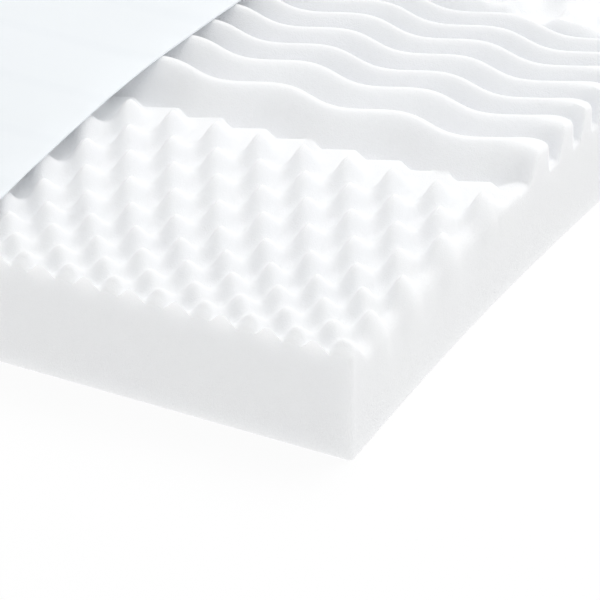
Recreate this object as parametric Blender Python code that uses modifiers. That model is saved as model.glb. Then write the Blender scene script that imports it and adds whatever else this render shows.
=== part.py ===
# A foam mattress core with knob zones and wavy ridges, and the thin cover that lies over one half of it.
# Metres, +Z up. The origin is on the floor under the middle of the mattress, and +Y runs along its length.

import math

import bmesh
import bpy

# The slab
WIDTH = 0.900
LENGTH = 2.000
HEIGHT = 0.140            # from the floor to the tips of the knobs and ridges
SWAY = 0.010              # the long sides waver this far to either side
SWAY_REACH = 0.700        # length of one of those bows

# The knobs, staggered like a honeycomb, in rows across the mattress
EDGE_INSET = 0.0168       # from a long side to the outermost knobs
END_PITCH = (WIDTH - 2 * EDGE_INSET) / 15.5
MIDDLE_PITCH = (WIDTH - 2 * EDGE_INSET) / 11.5
CUT_POWER = 1.5           # 1 is a plain wave, and more draws the knobs to a point
KNOB_POWER = 1.9
POWER_REACH = (0.020, 0.150)    # from the cut end, where one shape gives way to the other
CUT_LEAN = 0.6            # the knobs at the cut fall away quickly behind it,
CUT_FRONT = (0.35, 0.8)   # and the next row reaches it at this share of its height, this steeply
CUT_DEPTH = 0.018         # knob height at the cut end, where the rows crowd together
KNOB_DEPTH = 0.028        # knob height further in
CROWDED_REACH = 0.130     # from the cut end to the full knob height
OUTER_SHARE = (0.80, 0.35)      # how high the outermost knobs still are at the very side, at the cut and inside

# Distance of each knob row from the nearer end, in order. Odd and even rows are staggered.
END_ROWS = (0.000, 0.016, 0.045, 0.081, 0.120, 0.161, 0.210, 0.261, 0.311, 0.3625)
LAST_ROW_TAIL = 0.045     # the last row's knobs run back this far
MIDDLE_FIRST_ROW = 0.793
MIDDLE_ROW_GAP = (LENGTH / 2 - MIDDLE_FIRST_ROW) / 3
COLUMNS_PER_KNOB = 4

# Behind the last end row the foam lies level. The edge of that shelf runs out past each knob and steps back.
SHELF_EDGE = 0.425        # its mean place at a long side. It has the ridges' skew
SHELF_SWING = 0.0075
SHELF_START = 0.02        # share of a pitch before the knob where the edge starts to run out
SHELF_RUN = 0.62          # share of a pitch that it runs
SHELF_STEP = 0.004        # length of the step down to the first ridge's foot
SHELF_GAP = 0.004         # least distance from that step to the ridges' lines of points

# The ridges, wavy in plan and all in step. Distances from the nearer end, measured at a long side.
RIDGES = (0.480, 0.539, 0.584, 0.629, 0.671, 0.709, 0.746)
RIDGE_FOOT = 0.060        # the first ridge climbs over this length,
SIDE_FOOT = 0.046         # and over this one at the sides
FOOT_DEPTH = (0.040, 0.031)     # inside and at the sides
GROOVE_DEPTH = 0.034
GROOVE_BACK = (0.20, 0.05)      # share of a gap that drops behind a crest, inside and at the sides
GROOVE_FRONT = (0.20, 0.42)     # where the climb to the next crest starts
CLIMB_POWER = (1.0, 2.8)  # 1 climbs straight, and more leaves slots between level lands
LAND_REACH = (0.008, 0.055)     # from a long side, where slots give way to straight climbs
WAVE_LENGTH = 0.148
WAVE_SWING = 0.0105
WAVE_CREST = 0.472        # from the +X side to a place where the ridges swing furthest in
EDGE_BEND = 0.010         # the crests bend further in beside the long sides
EDGE_BEND_REACH = (0.012, 0.055)
RIDGE_SKEW = 0.040        # the ridges lie a little off square over the open half
SKEW_REACH = 0.470
RIDGE_LINES = (0.08, 0.22, 0.42, 0.70, 1.0)    # lines of points from one crest to the next

# Where the ridges fade into the middle knobs
KNOBS_FADE_IN = (0.762, 0.784)
FIRST_MIDDLE_LINE = 0.780

# The rounding along the long sides
CUT_SIDE_ROUND = 0.005
KNOB_SIDE_ROUND = 0.018
KNOB_ROUND_OUT = (0.370, 0.392) # where that rounding gives way to the ridges' own
SIDE_ROUND_REACH = 0.060  # from the cut end to the full rounding
RIDGE_SIDE_ROUND = 0.006
OUTER_LINE = 0.0052       # a line of points this far from the long sides

# The cover, a thin sheet over the -X half
COVER_THICK = 0.0025
COVER_LIFT = 0.0003       # it lies on the crests
COVER_SIDE_GAP = 0.002
COVER_HEM = 0.012         # lower hem above the floor
COVER_EDGE = -0.034       # its cut edge, beside the middle line, at the end with the crowded rows
COVER_EDGE_DRIFT = 0.0195
COVER_DRIFT = (0.360, 0.760)
COVER_BEND = 0.008
COVER_STEPS_ALONG = 40
COVER_STEPS_ACROSS = 6
COVER_BEND_STEPS = 3


def fade(start, end, place):
    """0 before start, 1 after end, and an even S between them."""
    t = min(max((place - start) / (end - start), 0.0), 1.0)
    return t * t * (3.0 - 2.0 * t)


def blend(a, b, share):
    return a + (b - a) * share


def rowPhase(place, rows):
    """Half turns along the rows: a whole number on each row."""
    for index in range(len(rows) - 1):
        if place <= rows[index + 1]:
            gap = rows[index + 1] - rows[index]
            return index + (place - rows[index]) / gap
    return len(rows) - 1 + (place - rows[-1]) / (rows[-1] - rows[-2])


def fromNearSide(across):
    return WIDTH / 2 - abs(across)


def knobField(across, phase, pitch, power, outerShare):
    """1 on a knob's tip and 0 in a pit. The outermost knobs fall away to the side, and the pits run level."""
    reach = WIDTH / 2 - EDGE_INSET
    inside = min(max(across, -reach), reach)
    turns = math.cos(math.pi * (reach - inside) / (pitch / 2))
    outer = blend(outerShare, 1.0, fade(0.0, EDGE_INSET, fromNearSide(across)))
    return ((1.0 + turns * math.cos(math.pi * phase)) / 2.0) ** power * outer


def crestShift(across):
    """How far a ridge's crest lies from its straight line, at this place across."""
    fromSide = WIDTH / 2 - across
    wave = WAVE_SWING * math.cos(2.0 * math.pi * (fromSide - WAVE_CREST) / WAVE_LENGTH)
    bend = EDGE_BEND * (1.0 - fade(*EDGE_BEND_REACH, fromNearSide(across)))
    return wave + bend - RIDGE_SKEW * min(fromSide, SKEW_REACH)


def endKnobHeight(across, place):
    nearCut = min(place / END_ROWS[1], 1.0)
    leaning = END_ROWS[1] * nearCut ** CUT_LEAN
    # The row at the cut end is a staggered one, so the count of rows starts at one.
    phase = rowPhase(min(max(place, leaning), END_ROWS[-1]), END_ROWS) + 1.0
    depth = blend(CUT_DEPTH, KNOB_DEPTH, fade(0.0, CROWDED_REACH, place))
    power = blend(CUT_POWER, KNOB_POWER, fade(*POWER_REACH, place))
    outer = blend(*OUTER_SHARE, fade(0.0, SIDE_ROUND_REACH, place))
    field = knobField(across, phase, END_PITCH, power, outer)
    if nearCut < 1.0:
        front = blend(CUT_FRONT[0], 1.0, nearCut ** CUT_FRONT[1])
        field = max(field, front * knobField(across, 2.0, END_PITCH, power, outer))
    behind = min(max((place - END_ROWS[-1]) / LAST_ROW_TAIL, 0.0), 1.0)
    return HEIGHT - depth * (1.0 - field * ((1.0 + math.cos(math.pi * behind)) / 2.0) ** power)


def shelfEdge(across):
    """Where the shelf behind the last end row ends, at this place across."""
    turn = (SHELF_START - (WIDTH / 2 - EDGE_INSET - across) / END_PITCH) % 1.0
    run = min(turn / SHELF_RUN, (1.0 - turn) / (1.0 - SHELF_RUN))
    skew = -RIDGE_SKEW * min(WIDTH / 2 - across, SKEW_REACH)
    return SHELF_EDGE + SHELF_SWING * (2.0 * run - 1.0) + skew


def middleKnobHeight(across, place):
    phase = 1.0 + (place - MIDDLE_FIRST_ROW) / MIDDLE_ROW_GAP
    return HEIGHT - KNOB_DEPTH * (1.0 - knobField(across, phase, MIDDLE_PITCH, KNOB_POWER, OUTER_SHARE[1]))


def ridgeHeight(across, place):
    along = place - crestShift(across)
    land = 1.0 - fade(*LAND_REACH, fromNearSide(across))
    power = blend(*CLIMB_POWER, land)
    if along < RIDGES[0]:
        down = min((RIDGES[0] - along) / blend(RIDGE_FOOT, SIDE_FOOT, land), 1.0) ** power
        return HEIGHT - blend(*FOOT_DEPTH, land) * down
    past = rowPhase(along, RIDGES) % 1.0
    fall = min(past / blend(*GROOVE_BACK, land), 1.0)
    climb = min((1.0 - past) / (1.0 - blend(*GROOVE_FRONT, land)), 1.0) ** power
    return HEIGHT - GROOVE_DEPTH * min(fall, climb)


def topHeight(across, place):
    """Height of the foam at a place across, measured from the middle, and along, from the nearer end."""
    ridges = ridgeHeight(across, place)
    edge = shelfEdge(across)
    shelf = max(endKnobHeight(across, min(place, edge)), ridges)
    height = blend(shelf, ridges, fade(edge, edge + SHELF_STEP, place))
    height = blend(height, middleKnobHeight(across, place), fade(*KNOBS_FADE_IN, place))
    ridgeShare = fade(*KNOB_ROUND_OUT, place) * (1.0 - fade(*KNOBS_FADE_IN, place))
    knobRound = blend(CUT_SIDE_ROUND, KNOB_SIDE_ROUND, fade(0.0, SIDE_ROUND_REACH, place))
    radius = blend(knobRound, RIDGE_SIDE_ROUND, ridgeShare)
    outward = min(max(radius - fromNearSide(across), 0.0), radius)
    return height - (radius - math.sqrt(radius ** 2 - outward ** 2))


def swayAt(along):
    """Sideways shift of the whole mattress at a distance from the end with the crowded rows."""
    return -SWAY * math.sin(math.pi * along / SWAY_REACH)


def columnPlaces(step):
    """Places across, every step between the outermost knobs, with two more beside each side."""
    reach = WIDTH / 2 - EDGE_INSET
    count = round(2.0 * reach / step)
    inner = [-reach + 2.0 * reach * index / count for index in range(count + 1)]
    outer = WIDTH / 2 - OUTER_LINE
    return [-WIDTH / 2, -outer] + inner + [outer, WIDTH / 2]


def withHalves(rows):
    """The rows and the places halfway between them."""
    places = [rows[0]]
    for before, after in zip(rows, rows[1:]):
        places += [(before + after) / 2.0, after]
    return places


def endZoneLines():
    return withHalves(END_ROWS) + [END_ROWS[-1] + LAST_ROW_TAIL / 2.0, SHELF_EDGE, SHELF_EDGE + SHELF_STEP]


def endPlace(across, line):
    """Place along of a point of the end zone: the last lines follow the shelf's edge."""
    return line + (shelfEdge(across) - SHELF_EDGE if line >= SHELF_EDGE else 0.0)


def ridgeZoneLines():
    lines = [RIDGES[0] - RIDGE_FOOT, RIDGES[0] - RIDGE_FOOT / 2.0, RIDGES[0]]
    for before, after in zip(RIDGES, RIDGES[1:]):
        lines += [blend(before, after, share) for share in RIDGE_LINES]
    return lines + [RIDGES[-1] + (RIDGES[-1] - RIDGES[-2]) / 2.0]


def ridgePlace(across, line):
    """Place along of a point of the ridges: its line follows the crests' waves, clear of the shelf."""
    fromFoot = (line - RIDGES[0]) / RIDGE_FOOT + 1.0
    clear = shelfEdge(across) + SHELF_STEP + SHELF_GAP * (1.0 + 2.0 * min(fromFoot, 1.0))
    return max(line + crestShift(across), clear)


def middleZoneLines():
    rows = [MIDDLE_FIRST_ROW + MIDDLE_ROW_GAP * index for index in range(4)]
    return [FIRST_MIDDLE_LINE] + withHalves(rows)


def middlePlace(across, line):
    return line


def addZone(mesh, columns, lines, placeOf):
    """Add a grid with its points on these columns and lines, and return its first and last edge rows."""
    made = bmesh.ops.create_grid(mesh, x_segments=len(columns) - 1, y_segments=len(lines) - 1, size=1.0)
    rows = {}
    for vert in made["verts"]:
        column = round((vert.co.x + 1.0) / 2.0 * (len(columns) - 1))
        line = round((vert.co.y + 1.0) / 2.0 * (len(lines) - 1))
        across = columns[column]
        place = placeOf(across, lines[line])
        vert.co = (across, place - LENGTH / 2, topHeight(across, place))
        rows.setdefault(line, set()).add(vert)
    return [[edge for edge in mesh.edges if edge.verts[0] in row and edge.verts[1] in row]
            for row in (rows[0], rows[len(lines) - 1])]


def newObject(name, mesh, collection):
    data = bpy.data.meshes.new(name)
    mesh.to_mesh(data)
    mesh.free()
    thing = bpy.data.objects.new(name, data)
    collection.objects.link(thing)
    return thing


def applyModifiers(thing):
    """Replace the object's mesh by the one that its modifiers give."""
    graph = bpy.context.evaluated_depsgraph_get()
    data = bpy.data.meshes.new_from_object(thing.evaluated_get(graph))
    old = thing.data
    thing.modifiers.clear()
    thing.data = data
    bpy.data.meshes.remove(old)
    data.name = thing.name


def material(name, colour, roughness):
    made = bpy.data.materials.new(name)
    made.use_nodes = True
    shader = made.node_tree.nodes["Principled BSDF"]
    shader.inputs["Base Color"].default_value = (*colour, 1.0)
    shader.inputs["Roughness"].default_value = roughness
    shader.inputs["Metallic"].default_value = 0.0
    return made


def foamCore(collection):
    """The slab: half of the relief is shaped, mirrored at mid length, and let down to the floor."""
    mesh = bmesh.new()
    ends = addZone(mesh, columnPlaces(END_PITCH / COLUMNS_PER_KNOB), endZoneLines(), endPlace)
    ridges = addZone(mesh, columnPlaces(2 * END_PITCH / COLUMNS_PER_KNOB), ridgeZoneLines(), ridgePlace)
    middle = addZone(mesh, columnPlaces(MIDDLE_PITCH / COLUMNS_PER_KNOB), middleZoneLines(), middlePlace)
    bmesh.ops.bridge_loops(mesh, edges=ends[1] + ridges[0])
    bmesh.ops.bridge_loops(mesh, edges=ridges[1] + middle[0])
    core = newObject("foam_core", mesh, collection)

    mirror = core.modifiers.new("FarHalf", "MIRROR")
    mirror.use_axis = (False, True, False)
    mirror.merge_threshold = 0.0001
    applyModifiers(core)

    mesh = bmesh.new()
    mesh.from_mesh(core.data)
    rim = [edge for edge in mesh.edges if edge.is_boundary]
    wall = bmesh.ops.extrude_edge_only(mesh, edges=rim)["geom"]
    foot = [item for item in wall if isinstance(item, bmesh.types.BMVert)]
    for vert in foot:
        vert.co.z = 0.0
    bmesh.ops.contextual_create(mesh, geom=[edge for edge in mesh.edges if edge.is_boundary])
    for vert in mesh.verts:
        vert.co.x += swayAt(vert.co.y + LENGTH / 2)
    bmesh.ops.recalc_face_normals(mesh, faces=mesh.faces)
    relief = [face for face in mesh.faces if len(face.verts) == 4 and face.normal.z > 0.0]
    bmesh.ops.triangulate(mesh, faces=relief, quad_method="SHORT_EDGE")
    mesh.to_mesh(core.data)
    mesh.free()
    core.data.materials.append(material("Foam", (0.90, 0.92, 0.93), 0.90))
    core.data.shade_smooth()
    core.data.set_sharp_from_angle(angle=math.radians(50.0))
    return core


def coverSection(along):
    """The cover's inner face from its cut edge, over the side, down to the hem, as (x, z) points."""
    edge = COVER_EDGE + COVER_EDGE_DRIFT * fade(*COVER_DRIFT, along)
    top = HEIGHT + COVER_LIFT
    side = -WIDTH / 2 - COVER_SIDE_GAP
    flatEnd = side + COVER_BEND
    points = [(blend(edge, flatEnd, step / COVER_STEPS_ACROSS), top) for step in range(COVER_STEPS_ACROSS)]
    for step in range(COVER_BEND_STEPS + 1):
        turn = math.pi / 2 * step / COVER_BEND_STEPS
        points.append((flatEnd - COVER_BEND * math.sin(turn), top - COVER_BEND * (1.0 - math.cos(turn))))
    return points + [(side, top / 2), (side, COVER_HEM)]


def cover(collection):
    """The cover: a sheet shaped over the crests and one long side, then given its thickness."""
    mesh = bmesh.new()
    count = len(coverSection(0.0))
    made = bmesh.ops.create_grid(mesh, x_segments=count - 1, y_segments=COVER_STEPS_ALONG, size=1.0)
    for vert in made["verts"]:
        along = (vert.co.y + 1.0) / 2.0 * LENGTH
        x, z = coverSection(along)[round((1.0 - vert.co.x) / 2.0 * (count - 1))]
        vert.co = (x + swayAt(along), along - LENGTH / 2, z)
    bmesh.ops.recalc_face_normals(mesh, faces=mesh.faces)
    if sum(face.normal.z * face.calc_area() for face in mesh.faces) < 0.0:
        bmesh.ops.reverse_faces(mesh, faces=mesh.faces)
    sheet = newObject("cover", mesh, collection)
    thick = sheet.modifiers.new("Thickness", "SOLIDIFY")
    thick.thickness = COVER_THICK
    thick.offset = 1.0
    sheet.data.materials.append(material("CoverCloth", (0.93, 0.95, 0.97), 0.85))
    sheet.data.shade_smooth()
    sheet.data.set_sharp_from_angle(angle=math.radians(50.0))
    return sheet


def main():
    for thing in list(bpy.data.objects):
        bpy.data.objects.remove(thing)
    mattress = bpy.data.collections.new("FoamMattress")
    bpy.context.scene.collection.children.link(mattress)
    foamCore(mattress)
    cover(mattress)


main()
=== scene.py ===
# A foam mattress core with knob zones and wavy ridges, half under a thin cloth cover
import math

import bpy
import numpy as np
from mathutils import Matrix, Vector


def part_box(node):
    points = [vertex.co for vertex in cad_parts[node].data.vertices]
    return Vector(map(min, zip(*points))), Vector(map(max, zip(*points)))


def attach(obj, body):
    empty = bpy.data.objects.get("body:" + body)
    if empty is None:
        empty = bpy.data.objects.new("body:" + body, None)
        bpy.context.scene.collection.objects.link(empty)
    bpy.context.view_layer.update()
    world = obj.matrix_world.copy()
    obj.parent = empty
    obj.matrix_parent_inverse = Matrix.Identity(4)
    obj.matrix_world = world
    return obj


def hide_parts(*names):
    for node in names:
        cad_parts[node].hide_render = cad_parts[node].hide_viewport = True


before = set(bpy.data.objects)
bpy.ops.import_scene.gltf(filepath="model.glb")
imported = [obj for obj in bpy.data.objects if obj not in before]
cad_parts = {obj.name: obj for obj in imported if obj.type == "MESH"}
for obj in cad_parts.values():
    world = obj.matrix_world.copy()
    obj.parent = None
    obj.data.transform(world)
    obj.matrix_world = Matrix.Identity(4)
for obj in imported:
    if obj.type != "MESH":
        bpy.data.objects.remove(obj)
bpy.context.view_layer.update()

coreLow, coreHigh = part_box("foam_core")

halfLength = (coreHigh.y - coreLow.y) / 2
slabHeight = coreHigh.z - coreLow.z

sway = {"reach": 0.700, "swing": 0.010}       # how the long sides waver
halfWidth = coreHigh.x - sway["swing"]


# Small helpers

def clearSelection():
    if bpy.context.object and bpy.context.object.mode != "OBJECT":
        bpy.ops.object.mode_set(mode="OBJECT")
    bpy.ops.object.select_all(action="DESELECT")


def smooth(start, end, place):
    t = np.clip((place - start) / (end - start), 0.0, 1.0)
    return t * t * (3.0 - 2.0 * t)


def mix(a, b, share):
    return a + (b - a) * share


def swayAt(y):
    return -sway["swing"] * np.sin(math.pi * (y + halfLength) / sway["reach"])


def readPoints(obj):
    points = np.empty(len(obj.data.vertices) * 3)
    obj.data.vertices.foreach_get("co", points)
    return points.reshape(-1, 3)


def writePoints(obj, points):
    obj.data.vertices.foreach_set("co", points.ravel())
    obj.data.update()


# The foam's relief. Places run from the nearer end, and the two halves mirror each other.

relief = {
    "edgeInset": 0.0168,          # outermost knobs, from the long side
    "endKnobs": 15.5,             # knob pitches across the ends
    "middleKnobs": 11.5,
    "cutPower": 1.5,              # 1 is a plain wave, and more draws the knobs to a point
    "knobPower": 1.9,
    "powerReach": (0.02, 0.15),
    "cutDepth": 0.018,            # knob height at the cut end
    "knobDepth": 0.028,
    "crowdedReach": 0.130,
    "cutLean": 0.6,               # the knobs at the cut fall away quickly behind it
    "cutFront": (0.35, 0.8),      # share of the next row's height that reaches the cut, and how steeply
    "endRows": [0.000, 0.016, 0.045, 0.081, 0.120, 0.161, 0.210, 0.261, 0.311, 0.3625],
    "middleFirstRow": 0.793,
    "middleRowGaps": 3,           # from there to mid length
    "lastRowTail": 0.045,         # the last row's knobs run back this far
    "outerShare": (0.80, 0.35),   # height left of the outermost knobs at the side, at the cut and inside
    "shelfEdge": 0.425,           # the foam lies level behind that row, up to here at a long side,
    "shelfSwing": 0.0075,         # and its edge runs out past each knob and steps back,
    "shelfStart": 0.02,           # starting at this share of a pitch before the knob,
    "shelfRun": 0.62,             # for this share of a pitch
    "shelfStep": 0.004,
    "ridges": [0.480, 0.539, 0.584, 0.629, 0.671, 0.709, 0.746],
    "ridgeFoot": 0.060,           # the first ridge climbs over this length
    "sideFoot": 0.046,            # and over this one at the sides
    "ridgeFootDepth": (0.040, 0.031),
    "grooveDepth": 0.034,
    "grooveBack": (0.20, 0.05),   # share of a gap that drops behind a crest, inside and at the sides
    "grooveFront": (0.20, 0.42),  # where the climb to the next crest starts
    "climbPower": (1.0, 2.8),     # 1 climbs straight, and more is a slot between level lands
    "landReach": (0.008, 0.055),
    "crestFlat": 0.08,            # share of a climb that lies level at its crest
    "crestRound": 0.05,
    "grooveRound": 0.15,
    "waveLength": 0.148,
    "waveSwing": 0.0105,
    "waveCrest": 0.472,           # from the bare long side
    "edgeBend": 0.010,            # the crests bend further in beside the long sides
    "edgeBendReach": (0.012, 0.055),
    "ridgeSkew": 0.040,
    "skewReach": 0.470,
    "knobsIn": (0.762, 0.784),    # ridges give way to knobs
    "cutSideRound": 0.005,
    "knobSideRound": 0.018,
    "knobRoundOut": (0.370, 0.392),
    "sideRoundReach": 0.060,
    "ridgeSideRound": 0.006,
    "fluteDepth": 0.0045,         # the outermost pits run out over the side in flutes this deep,
    "fluteReach": 0.060,          # which fade this far down
    "fluteIn": (0.030, 0.110),
    "fluteOut": (0.370, 0.400),
}


def fromNearSide(across):
    return halfWidth - np.abs(across)


def knobField(across, phase, pitchCount, power, outerShare):
    reach = halfWidth - relief["edgeInset"]
    pitch = 2 * reach / pitchCount
    inside = np.clip(across, -reach, reach)
    turns = np.cos(2 * math.pi * (reach - inside) / pitch) * np.cos(math.pi * phase)
    outer = mix(outerShare, 1, smooth(0, relief["edgeInset"], fromNearSide(across)))
    return ((1 + turns) / 2) ** power * outer


def crestShift(across):
    fromSide = halfWidth - across
    wave = np.cos(2 * math.pi * (fromSide - relief["waveCrest"]) / relief["waveLength"])
    skew = -relief["ridgeSkew"] * np.minimum(fromSide, relief["skewReach"])
    bend = relief["edgeBend"] * (1 - smooth(*relief["edgeBendReach"], fromNearSide(across)))
    return relief["waveSwing"] * wave + skew + bend


def rowPhase(place, rows):
    return np.interp(place, rows, np.arange(len(rows)))


def endKnobs(across, place):
    rows = relief["endRows"]
    leaning = np.clip(place / rows[1], 0, 1) ** relief["cutLean"]
    phase = rowPhase(np.maximum(place, rows[1] * leaning), rows) + 1
    depth = mix(relief["cutDepth"], relief["knobDepth"], smooth(0, relief["crowdedReach"], place))
    power = mix(relief["cutPower"], relief["knobPower"], smooth(*relief["powerReach"], place))
    outer = mix(*relief["outerShare"], smooth(0, relief["sideRoundReach"], place))
    field = knobField(across, phase, relief["endKnobs"], power, outer)
    front = mix(relief["cutFront"][0], 1, np.clip(place / rows[1], 0, 1) ** relief["cutFront"][1])
    front = front * knobField(across, 2, relief["endKnobs"], power, outer)
    field = np.where(place < rows[1], np.maximum(field, front), field)
    behind = np.clip((place - rows[-1]) / relief["lastRowTail"], 0, 1)
    return slabHeight - depth * (1 - field * ((1 + np.cos(math.pi * behind)) / 2) ** power)


def shelfEdge(across):
    reach = halfWidth - relief["edgeInset"]
    turn = (relief["shelfStart"] - (reach - across) / (2 * reach / relief["endKnobs"])) % 1
    run = np.minimum(turn / relief["shelfRun"], (1 - turn) / (1 - relief["shelfRun"]))
    skew = -relief["ridgeSkew"] * np.minimum(halfWidth - across, relief["skewReach"])
    return relief["shelfEdge"] + relief["shelfSwing"] * (2 * run - 1) + skew


def middleKnobs(across, place):
    gap = (halfLength - relief["middleFirstRow"]) / relief["middleRowGaps"]
    phase = 1 + (place - relief["middleFirstRow"]) / gap
    field = knobField(across, phase, relief["middleKnobs"], relief["knobPower"], relief["outerShare"][1])
    return slabHeight - relief["knobDepth"] * (1 - field)


def rounded(share, radius):
    # A corner at 0, eased over about this radius
    return (np.sqrt(share ** 2 + radius ** 2) - radius) / (math.sqrt(1 + radius ** 2) - radius)


def easedDrop(share):
    # From 0 on a crest to 1 in a groove, with both rounded a little
    share = np.maximum(share - relief["crestFlat"], 0) / (1 - relief["crestFlat"])
    return 1 - rounded(1 - rounded(share, relief["crestRound"]), relief["grooveRound"])


def ridgeRelief(across, place):
    along = place - crestShift(across)
    rows = relief["ridges"] + [2 * relief["ridges"][-1] - relief["ridges"][-2]]
    land = 1 - smooth(*relief["landReach"], fromNearSide(across))
    past = rowPhase(along, rows) % 1
    fall = past / mix(*relief["grooveBack"], land)
    power = mix(*relief["climbPower"], land)
    climb = np.clip((1 - past) / (1 - mix(*relief["grooveFront"], land)), 0, 1) ** power
    grooves = slabHeight - relief["grooveDepth"] * easedDrop(np.minimum(np.clip(fall, 0, 1), climb))
    footReach = mix(relief["ridgeFoot"], relief["sideFoot"], land)
    down = np.clip((rows[0] - along) / footReach, 0, 1) ** power
    foot = slabHeight - mix(*relief["ridgeFootDepth"], land) * easedDrop(down)
    return np.where(along < rows[0], foot, grooves)


def reliefHeight(across, place):
    ridges = ridgeRelief(across, place)
    edge = shelfEdge(across)
    shelf = np.maximum(endKnobs(across, place), ridges)
    height = mix(shelf, ridges, smooth(edge, edge + relief["shelfStep"], place))
    height = mix(height, middleKnobs(across, place), smooth(*relief["knobsIn"], place))
    fromCut = smooth(0, relief["sideRoundReach"], place)
    knobRound = mix(relief["cutSideRound"], relief["knobSideRound"], fromCut)
    ridgeShare = smooth(*relief["knobRoundOut"], place) * (1 - smooth(*relief["knobsIn"], place))
    radius = mix(knobRound, relief["ridgeSideRound"], ridgeShare)
    outward = np.clip(radius - fromNearSide(across), 0, radius)
    return height - (radius - np.sqrt(radius ** 2 - outward ** 2))


def fluteShift(across, place, below):
    # How far the side is drawn in under the outermost pits, at this distance below the rim
    low = slabHeight - relief["knobDepth"] - relief["knobSideRound"]
    rim = reliefHeight(np.full_like(place, halfWidth), place)
    pit = np.clip(1 - (rim - low) / (relief["outerShare"][1] * relief["knobDepth"]), 0, 1)
    zone = smooth(*relief["fluteIn"], place) * (1 - smooth(*relief["fluteOut"], place))
    outward = 1 - np.clip(fromNearSide(across) / relief["edgeInset"], 0, 1)
    fade = np.clip(1 - below / relief["fluteReach"], 0, 1) ** 2
    return -np.sign(across) * relief["fluteDepth"] * pit * zone * outward * fade


# The foam slab

foamSlab = {
    "cellsPerHalfKnob": 8,            # where the foam is bare
    "cellsUnderCover": 2,
    "bareFrom": -0.075,               # the cover hides all that lies further over
    "roundCells": 8,
    "cellsPerRow": 9,
    "ridgeSteps": [0.03, 0.06, 0.10, 0.15, 0.20, 0.26, 0.34, 0.40, 0.44,
                   0.50, 0.58, 0.66, 0.74, 0.82, 0.89, 0.94, 0.97, 1.0],
    "cellsPerMiddleRow": 14,
    "shelfCells": 14,
    "stepCells": 6,
    "footCells": 26,
    "middleFootCells": 12,
    "shiftIn": 0.476,                 # the mesh lines follow the crests' waves from here
    "shiftOut": (0.76, 0.86),         # to here
    "wallLevels": [0.05, 0.11, 0.18, 0.26, 0.35, 0.45, 0.58, 0.75, 1.0],
    "cornerRound": 0.006,
    "sharpAngle": 40,
}


def slabColumns():
    reach = halfWidth - relief["edgeInset"]
    halfKnobs = int(2 * relief["endKnobs"])
    step = 2 * reach / halfKnobs
    places = [-reach]
    for index in range(halfKnobs):
        start = -reach + step * index
        bare = start > foamSlab["bareFrom"]
        cells = foamSlab["cellsPerHalfKnob" if bare else "cellsUnderCover"]
        places += [start + step * (n + 1) / cells for n in range(cells)]
    turns = [math.pi / 2 * (n + 1) / foamSlab["roundCells"] for n in range(foamSlab["roundCells"])]
    rounding = [reach + relief["edgeInset"] * math.sin(turn) for turn in turns]
    return np.array([-place for place in reversed(rounding)] + places + rounding)


def slabLines():
    rows, ridges = relief["endRows"], relief["ridges"]
    gap = (halfLength - relief["middleFirstRow"]) / relief["middleRowGaps"]
    def even(count):
        return [(n + 1) / count for n in range(count)]
    stops = [(place, even(foamSlab["cellsPerRow"])) for place in rows[1:]]
    stops += [(relief["shelfEdge"], even(foamSlab["shelfCells"]))]
    stops += [(relief["shelfEdge"] + relief["shelfStep"], even(foamSlab["stepCells"]))]
    stops += [(ridges[0], even(foamSlab["footCells"]))]
    stops += [(place, foamSlab["ridgeSteps"]) for place in ridges[1:]]
    stops += [(relief["middleFirstRow"], even(foamSlab["middleFootCells"]))]
    stops += [(relief["middleFirstRow"] + gap * (n + 1), even(foamSlab["cellsPerMiddleRow"]))
              for n in range(relief["middleRowGaps"])]
    places = [0.0]
    for end, steps in stops:
        start = places[-1]
        places += [mix(start, end, step) for step in steps]
    places = np.array(places)
    return np.concatenate([places, 2 * halfLength - places[-2::-1]])


def foldedPlace(lines):
    return halfLength - np.abs(lines - halfLength)


def slabPlace(across, lines):
    # The place along of each point: a mesh line, moved to follow the shelf's edge and the ridges' waves
    folded = foldedPlace(lines)
    edge = relief["shelfEdge"]
    scallop = (shelfEdge(across) - edge) * np.interp(folded, [relief["endRows"][-1], edge], [0, 1])
    share = np.interp(folded, [edge + relief["shelfStep"], foamSlab["shiftIn"]], [0, 1])
    moved = mix(scallop, crestShift(across), share) * np.interp(folded, foamSlab["shiftOut"], [1, 0])
    return lines + np.where(lines > halfLength, -moved, moved)


def roundedCorners(points):
    # In plan, the four upright corners are drawn in to a small quarter circle
    radius = foamSlab["cornerRound"]
    low = np.array([halfWidth - radius, halfLength - radius])
    share = np.clip((np.abs(points[:, :2]) - low) / radius, 0, 1)
    inward = share * np.sqrt(1 - share[:, ::-1] ** 2 / 2)
    points[:, :2] += np.sign(points[:, :2]) * radius * (inward - share)


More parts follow.
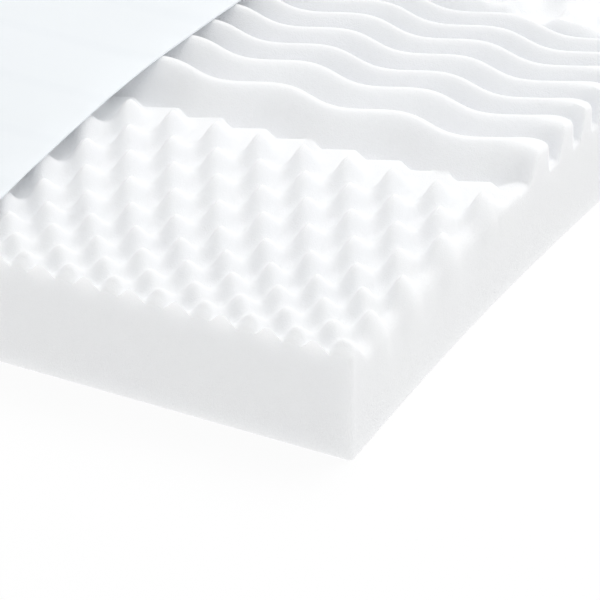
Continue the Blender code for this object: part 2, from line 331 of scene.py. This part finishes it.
def makeSlab():
    columns, lines = slabColumns(), slabLines()
    clearSelection()
    bpy.ops.mesh.primitive_grid_add(x_subdivisions=len(columns) - 1, y_subdivisions=len(lines) - 1, size=1)
    slab = bpy.context.object
    slab.name = slab.data.name = "foamSlab"
    points = readPoints(slab)
    across = columns[np.rint((points[:, 0] + 0.5) * (len(columns) - 1)).astype(int)]
    line = lines[np.rint((points[:, 1] + 0.5) * (len(lines) - 1)).astype(int)]
    place = slabPlace(across, line)
    topCount = len(points)
    points = np.stack([across, place - halfLength, reliefHeight(across, foldedPlace(place))], axis=1)
    writePoints(slab, points)

    # The walls: the rim is extruded ring by ring, then each ring gets its height, the last on the floor
    bpy.ops.object.mode_set(mode="EDIT")
    bpy.ops.mesh.select_mode(type="EDGE")
    bpy.ops.mesh.select_all(action="SELECT")
    bpy.ops.mesh.region_to_loop()
    for _ in foamSlab["wallLevels"]:
        bpy.ops.mesh.extrude_edges_move(TRANSFORM_OT_translate={"value": (0, 0, -slabHeight / 10)})
    bpy.ops.mesh.edge_face_add()
    bpy.ops.object.mode_set(mode="OBJECT")
    points = readPoints(slab)
    ring = (len(points) - topCount) // len(foamSlab["wallLevels"])
    below = np.zeros(len(points))
    for index, level in enumerate(foamSlab["wallLevels"]):
        part = slice(topCount + index * ring, topCount + (index + 1) * ring)
        rim = reliefHeight(points[part, 0], foldedPlace(points[part, 1] + halfLength))
        points[part, 2] = rim * (1 - level)
        below[part] = rim * level
    points[:, 0] += fluteShift(points[:, 0], foldedPlace(points[:, 1] + halfLength), below)
    roundedCorners(points)
    points[:, 0] += swayAt(points[:, 1])
    writePoints(slab, points)
    bpy.ops.object.mode_set(mode="EDIT")
    bpy.ops.mesh.select_all(action="SELECT")
    bpy.ops.mesh.normals_make_consistent(inside=False)
    bpy.ops.object.mode_set(mode="OBJECT")
    bpy.ops.object.shade_smooth_by_angle(angle=math.radians(foamSlab["sharpAngle"]))
    return slab


# The cover, drawn over the crests and down the far long side

cover = {
    "thick": 0.0022,
    "lift": 0.0006,
    "sideGap": 0.0022,
    "hem": 0.012,
    "hemFold": 0.016,                 # height of the turned-up hem,
    "hemExtra": 0.0012,               # and how much thicker it is
    "hemStep": 0.0022,
    "waves": [(0.310, 0.9, 0.0), (0.127, -0.35, 1.3)],    # length, turn and start of each faint wave
    "waveRise": 0.0007,
    "edge": -0.034,                   # cut edge beside the middle line, at the nearer end
    "edgeDrift": 0.0195,
    "driftReach": (0.36, 0.76),
    "bend": 0.009,
    "sharpAngle": 50,
    "topCells": 90,
    "bendCells": 8,
    "sideCells": 20,
    "hemCells": 10,
    "lineCells": 360,
}


def coverSection(edge):
    # The sheet's inner face from its cut edge, over the side, down to the hem
    top = slabHeight + cover["lift"]
    side = -halfWidth - cover["sideGap"]
    bendFrom = side + cover["bend"]
    share = np.linspace(0, 1, cover["topCells"], endpoint=False)
    turn = np.linspace(0, math.pi / 2, cover["bendCells"] + 1)
    x = [mix(edge, bendFrom, share), bendFrom - cover["bend"] * np.sin(turn)]
    z = [np.full(len(share), top), top - cover["bend"] * (1 - np.cos(turn))]
    hemTop = cover["hem"] + cover["hemFold"]
    down = [np.linspace(z[1][-1], hemTop, cover["sideCells"] + 1)[1:]]
    down += [np.linspace(hemTop, cover["hem"], cover["hemCells"] + 1)[1:]]
    x += [np.full(sum(len(part) for part in down), side)]
    return np.concatenate(x), np.concatenate(z + down)


def clothRun():
    # Each column's distance over the cloth from its cut edge
    x, z = coverSection(cover["edge"])
    return np.concatenate([[0], np.cumsum(np.hypot(np.diff(x), np.diff(z)))])


cover["run"] = clothRun()[-1]


def sheetRise(x, y):
    # The cloth doesn't lie dead flat: it rises off the crests in faint waves
    rise = 0
    for length, turn, start in cover["waves"]:
        way = (x * math.sin(turn) + y * math.cos(turn)) / length
        rise = rise + (1 + np.sin(2 * math.pi * way + start)) / 2
    return cover["waveRise"] * rise / len(cover["waves"])


def makeCover():
    columnCount = cover["topCells"] + cover["bendCells"] + 1 + cover["sideCells"] + cover["hemCells"]
    clearSelection()
    lineCount = cover["lineCells"]
    bpy.ops.mesh.primitive_grid_add(x_subdivisions=columnCount - 1, y_subdivisions=lineCount, size=1)
    sheet = bpy.context.object
    sheet.name = sheet.data.name = "coverCloth"
    points = readPoints(sheet)
    column = np.rint((0.5 - points[:, 0]) * (columnCount - 1)).astype(int)
    y = points[:, 1] * 2 * halfLength
    drift = cover["edgeDrift"] * smooth(*cover["driftReach"], y + halfLength)
    low, high = coverSection(cover["edge"]), coverSection(cover["edge"] + cover["edgeDrift"])
    x = mix(low[0][column], high[0][column], drift / cover["edgeDrift"])
    z = low[1][column]
    z = z + sheetRise(x, y) * smooth(slabHeight - cover["bend"], slabHeight, z)
    writePoints(sheet, np.stack([x + swayAt(y), y, z], axis=1))

    # The map gives each point's place on the cloth in metres, from the cut edge and from the nearer end
    corners = np.empty(len(sheet.data.loops), dtype=int)
    sheet.data.loops.foreach_get("vertex_index", corners)
    spread = np.stack([clothRun()[column] - drift, y + halfLength], axis=1)[corners]
    sheet.data.uv_layers.active.data.foreach_set("uv", spread.ravel())

    bpy.ops.object.mode_set(mode="EDIT")
    bpy.ops.mesh.select_all(action="SELECT")
    bpy.ops.mesh.normals_make_consistent(inside=False)
    bpy.ops.object.mode_set(mode="OBJECT")
    if sheet.data.polygons[0].normal.z < 0:
        sheet.data.flip_normals()

    # The hem has the full thickness, and the rest of the cloth a share of it
    hem = sheet.vertex_groups.new(name="hem")
    plain = cover["thick"] / (cover["thick"] + cover["hemExtra"])
    hemTop = cover["hem"] + cover["hemFold"]
    thickness = mix(1, plain, smooth(hemTop - cover["hemStep"], hemTop, z))
    for share in np.unique(thickness):
        hem.add(np.flatnonzero(thickness == share).tolist(), float(share), "REPLACE")
    sheet.data.materials.append(insideMaterial())
    sheet.data.materials.append(coverMaterial())
    shell = sheet.modifiers.new("Thickness", "SOLIDIFY")
    shell.thickness = cover["thick"] + cover["hemExtra"]
    shell.vertex_group = "hem"
    shell.offset = 1
    shell.material_offset = shell.material_offset_rim = 1
    bpy.ops.object.modifier_apply(modifier=shell.name)
    bpy.ops.object.shade_smooth_by_angle(angle=math.radians(cover["sharpAngle"]))
    return sheet


# Materials

def newMaterial(name):
    material = bpy.data.materials.new(name)
    material.use_nodes = True
    return material, material.node_tree.nodes, material.node_tree.links


def addNode(nodes, kind, **values):
    node = nodes.new(kind)
    for name, value in values.items():
        if name in node.inputs:
            node.inputs[name].default_value = value
        else:
            setattr(node, name, value)
    return node


def mixColours(nodes, first, second):
    node = nodes.new("ShaderNodeMix")
    node.data_type = "RGBA"
    node.inputs[6].default_value, node.inputs[7].default_value = first, second
    return node


def noise(nodes, scale, detail):
    return addNode(nodes, "ShaderNodeTexNoise", Scale=scale, Detail=detail)


def waveOf(nodes, links, value, length):
    # A smooth wave of this length along a distance, from 0 to 1
    turns = addNode(nodes, "ShaderNodeMath", operation="MULTIPLY")
    turns.inputs[1].default_value = 2 * math.pi / length
    links.new(value, turns.inputs[0])
    sine = addNode(nodes, "ShaderNodeMath", operation="SINE")
    links.new(turns.outputs["Value"], sine.inputs[0])
    lifted = addNode(nodes, "ShaderNodeMath", operation="MULTIPLY_ADD")
    lifted.inputs[1].default_value = 0.5
    lifted.inputs[2].default_value = 0.5
    links.new(sine.outputs["Value"], lifted.inputs[0])
    return lifted.outputs["Value"]


def ramped(nodes, links, value, reach, ends):
    ramp = addNode(nodes, "ShaderNodeMapRange", interpolation_type="SMOOTHSTEP")
    ramp.inputs["From Min"].default_value, ramp.inputs["From Max"].default_value = reach
    ramp.inputs["To Min"].default_value, ramp.inputs["To Max"].default_value = ends
    links.new(value, ramp.inputs["Value"])
    return ramp.outputs["Result"]


def joined(nodes, links, operation, first, second):
    node = addNode(nodes, "ShaderNodeMath", operation=operation)
    links.new(first, node.inputs[0])
    links.new(second, node.inputs[1])
    return node.outputs["Value"]


def bumped(nodes, links, height, depth, strength=1.0, under=None, sunk=False):
    # A bump of this depth in metres, on top of the one under it
    bump = addNode(nodes, "ShaderNodeBump", Strength=strength, Distance=depth, invert=sunk)
    links.new(height, bump.inputs["Height"])
    if under:
        links.new(under, bump.inputs["Normal"])
    return bump.outputs["Normal"]


foamLook = {
    "pale": (0.908, 0.922, 0.944, 1),
    "shade": (0.896, 0.903, 0.932, 1),
    "pore": (0.790, 0.800, 0.826, 1),
    "roughness": 0.92,
    "specular": 0.15,
    "driftScale": 9,
    "driftDetail": 3,
    "poreScale": 620,                 # open cells of about 1.6 mm,
    "poreReach": (0.10, 0.34),        # dark in their middles
    "poreShare": 0.28,
    "grainScale": 190,
    "grainDetail": 2,
    "cellDepth": 0.00022,
    "grainDepth": 0.00022,
    "glowShare": 0.8,                 # light spreads inside the pale foam,
    "glowReach": 0.013,               # about this far
}


def foamMaterial():
    material, nodes, links = newMaterial("paleCutFoam")
    shader = nodes["Principled BSDF"]
    shader.inputs["Roughness"].default_value = foamLook["roughness"]
    shader.inputs["Specular IOR Level"].default_value = foamLook["specular"]
    shader.inputs["Subsurface Weight"].default_value = foamLook["glowShare"]
    shader.inputs["Subsurface Radius"].default_value = (1, 1, 1)
    shader.inputs["Subsurface Scale"].default_value = foamLook["glowReach"]
    place = addNode(nodes, "ShaderNodeTexCoord").outputs["Object"]
    drift = noise(nodes, foamLook["driftScale"], foamLook["driftDetail"])
    grain = noise(nodes, foamLook["grainScale"], foamLook["grainDetail"])
    cells = addNode(nodes, "ShaderNodeTexVoronoi", Scale=foamLook["poreScale"])
    for texture in (drift, grain, cells):
        links.new(place, texture.inputs["Vector"])
    tint = mixColours(nodes, foamLook["pale"], foamLook["shade"])
    links.new(drift.outputs["Fac"], tint.inputs["Factor"])
    ends = (foamLook["poreShare"], 0)
    pores = ramped(nodes, links, cells.outputs["Distance"], foamLook["poreReach"], ends)
    speckled = mixColours(nodes, foamLook["pale"], foamLook["pore"])
    links.new(pores, speckled.inputs["Factor"])
    links.new(tint.outputs[2], speckled.inputs[6])
    links.new(speckled.outputs[2], shader.inputs["Base Color"])
    coarse = bumped(nodes, links, grain.outputs["Fac"], foamLook["grainDepth"])
    fine = bumped(nodes, links, cells.outputs["Distance"], foamLook["cellDepth"], under=coarse)
    links.new(fine, shader.inputs["Normal"])
    return material


coverLook = {
    "white": (0.940, 0.975, 1.0, 1),
    "band": (0.927, 0.963, 0.990, 1), # the faint darker bands across the cloth
    "bandPitch": 0.107,
    "bandWidth": 0.16,                # share of the pitch
    "through": (0.97, 0.99, 1.0, 1),
    "throughShare": 0.10,             # the thin cloth lets this share of the light through
    "roughness": 0.85,
    "specular": 0.2,
    "sheen": 0.08,
    "wale": 0.0013,                   # width of a column of stitches
    "course": 0.0011,                 # height of a row of stitches
    "knitDepth": 0.00009,
    "fluffScale": 900,
    "fluffDetail": 2,
    "fluffShare": 0.5,
    "stitch": 0.0034,                 # pitch of the sewing stitches along the hem
    "stitchRamp": (0.1, 0.5),         # where a stitch rises out of the gap before it
    "stitchDepth": 0.0006,
    "stitchWidth": 0.0010,
}


def hemStitches(nodes, links, across, along):
    # One row of short stitches sunk along the top of the hem
    row = cover["run"] - cover["hemFold"] + 2 * coverLook["stitchWidth"]
    away = addNode(nodes, "ShaderNodeMath", operation="SUBTRACT")
    away.inputs[1].default_value = row
    links.new(across, away.inputs[0])
    distance = addNode(nodes, "ShaderNodeMath", operation="ABSOLUTE")
    links.new(away.outputs["Value"], distance.inputs[0])
    line = ramped(nodes, links, distance.outputs["Value"], (0, coverLook["stitchWidth"]), (1, 0))
    dashes = waveOf(nodes, links, along, coverLook["stitch"])
    dash = ramped(nodes, links, dashes, coverLook["stitchRamp"], (0, 1))
    return joined(nodes, links, "MULTIPLY", line, dash)


def coverMaterial():
    material, nodes, links = newMaterial("whiteKnit")
    shader = nodes["Principled BSDF"]
    shader.inputs["Roughness"].default_value = coverLook["roughness"]
    shader.inputs["Specular IOR Level"].default_value = coverLook["specular"]
    shader.inputs["Sheen Weight"].default_value = coverLook["sheen"]
    run = addNode(nodes, "ShaderNodeSeparateXYZ")
    place = addNode(nodes, "ShaderNodeUVMap")
    links.new(place.outputs["UV"], run.inputs["Vector"])
    across, along = run.outputs["X"], run.outputs["Y"]

    bands = waveOf(nodes, links, along, coverLook["bandPitch"])
    banded = ramped(nodes, links, bands, (1 - coverLook["bandWidth"], 1), (0, 1))
    white = mixColours(nodes, coverLook["white"], coverLook["band"])
    links.new(banded, white.inputs["Factor"])
    links.new(white.outputs[2], shader.inputs["Base Color"])

    wales = waveOf(nodes, links, across, coverLook["wale"])
    courses = waveOf(nodes, links, along, coverLook["course"])
    knit = joined(nodes, links, "MULTIPLY", wales, courses)
    weave = bumped(nodes, links, knit, coverLook["knitDepth"])
    fluff = noise(nodes, coverLook["fluffScale"], coverLook["fluffDetail"])
    links.new(place.outputs["UV"], fluff.inputs["Vector"])
    soft = bumped(nodes, links, fluff.outputs["Fac"], coverLook["knitDepth"], coverLook["fluffShare"], weave)
    stitches = hemStitches(nodes, links, across, along)
    sewn = bumped(nodes, links, stitches, coverLook["stitchDepth"], under=soft, sunk=True)
    links.new(sewn, shader.inputs["Normal"])

    through = addNode(nodes, "ShaderNodeBsdfTranslucent")
    through.inputs["Color"].default_value = coverLook["through"]
    thin = addNode(nodes, "ShaderNodeMixShader")
    thin.inputs["Fac"].default_value = coverLook["throughShare"]
    links.new(shader.outputs["BSDF"], thin.inputs[1])
    links.new(through.outputs["BSDF"], thin.inputs[2])
    links.new(thin.outputs["Shader"], nodes["Material Output"].inputs["Surface"])
    return material


def insideMaterial():
    # The inner face is clear, so that the outer one alone stops or passes the light, as one thin cloth does
    material, nodes, links = newMaterial("whiteKnitInside")
    shader = nodes["Principled BSDF"]
    shader.inputs["Base Color"].default_value = coverLook["white"]
    shader.inputs["Roughness"].default_value = coverLook["roughness"]
    shader.inputs["Alpha"].default_value = 0
    return material


# Floor, light and camera

room = {
    "floorSize": 40,
    "floor": (0.12, 0.12, 0.12, 1),
    "floorGlow": 0.88,                # lifts the floor to white, so that its shadow stays faint
    "worldColor": (1.0, 1.0, 1.0, 1),
    "worldPower": 0.715,
    "lampAim": (0, -0.4, 0.1),
    "lampSize": 2.6,
    "lamps": [
        {"name": "topPanel", "at": (1.15, 1.3, 3.8), "power": 60},
        {"name": "backPanel", "at": (0.3, 2.2, 3.8), "power": 27},
    ],
}

camera = {
    "azimuth": 27.863,
    "elevation": 31.183,
    "distance": 6.51,                 # to the slab's near lower corner
    "focalPixels": 6083,
    "cornerPixel": (351.57, 461.7),   # where that corner lies in the frame
    "framePixels": 600,
    "sensor": 36,
    "farthest": 60,
}


def makeRoom():
    clearSelection()
    bpy.ops.mesh.primitive_plane_add(size=room["floorSize"])
    floor = bpy.context.object
    floor.name = "paleFloor"
    material, nodes, links = newMaterial("paleFloor")
    shader = nodes["Principled BSDF"]
    shader.inputs["Base Color"].default_value = room["floor"]
    shader.inputs["Roughness"].default_value = 1
    shader.inputs["Specular IOR Level"].default_value = 0
    shader.inputs["Emission Color"].default_value = (1, 1, 1, 1)
    shader.inputs["Emission Strength"].default_value = room["floorGlow"]
    floor.data.materials.append(material)
    world = bpy.data.worlds.new("paleStudio")
    bpy.context.scene.world = world
    world.use_nodes = True
    background = world.node_tree.nodes["Background"]
    background.inputs["Color"].default_value = room["worldColor"]
    background.inputs["Strength"].default_value = room["worldPower"]
    aim = Vector(room["lampAim"])
    for lamp in room["lamps"]:
        clearSelection()
        bpy.ops.object.light_add(type="AREA", location=lamp["at"])
        light = bpy.context.object
        light.name = lamp["name"]
        light.data.size = room["lampSize"]
        light.data.energy = lamp["power"]
        light.rotation_euler = (aim - Vector(lamp["at"])).to_track_quat("-Z", "Y").to_euler()
    bpy.context.scene.view_settings.view_transform = "Standard"


def makeCamera():
    turn, tilt = math.radians(camera["azimuth"]), math.radians(camera["elevation"])
    ahead = Vector((-math.sin(turn) * math.cos(tilt), math.cos(turn) * math.cos(tilt), -math.sin(tilt)))
    right = Vector((math.cos(turn), math.sin(turn), 0))
    up = right.cross(ahead)
    middle = camera["framePixels"] / 2
    sideways = (camera["cornerPixel"][0] - middle) / camera["focalPixels"]
    upward = (middle - camera["cornerPixel"][1]) / camera["focalPixels"]
    corner = Vector((halfWidth, -halfLength, 0))
    at = corner - camera["distance"] * (ahead + sideways * right + upward * up)
    bpy.ops.object.camera_add()
    eye = bpy.context.object
    eye.matrix_world = Matrix.Translation(at) @ Matrix((right, up, -ahead)).transposed().to_4x4()
    eye.data.sensor_width = camera["sensor"]
    eye.data.lens = camera["focalPixels"] * camera["sensor"] / camera["framePixels"]
    eye.data.clip_end = camera["farthest"]
    bpy.context.scene.camera = eye


# Making

print("camera and room")
makeCamera()
makeRoom()

print("foam slab")
slab = makeSlab()
slab.data.materials.append(foamMaterial())
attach(slab, "root")
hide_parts("foam_core")
print("foam slab:", len(slab.data.polygons), "faces")

print("cover")
sheet = makeCover()
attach(sheet, "root")
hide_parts("cover")
print("cover:", len(sheet.data.polygons), "faces")
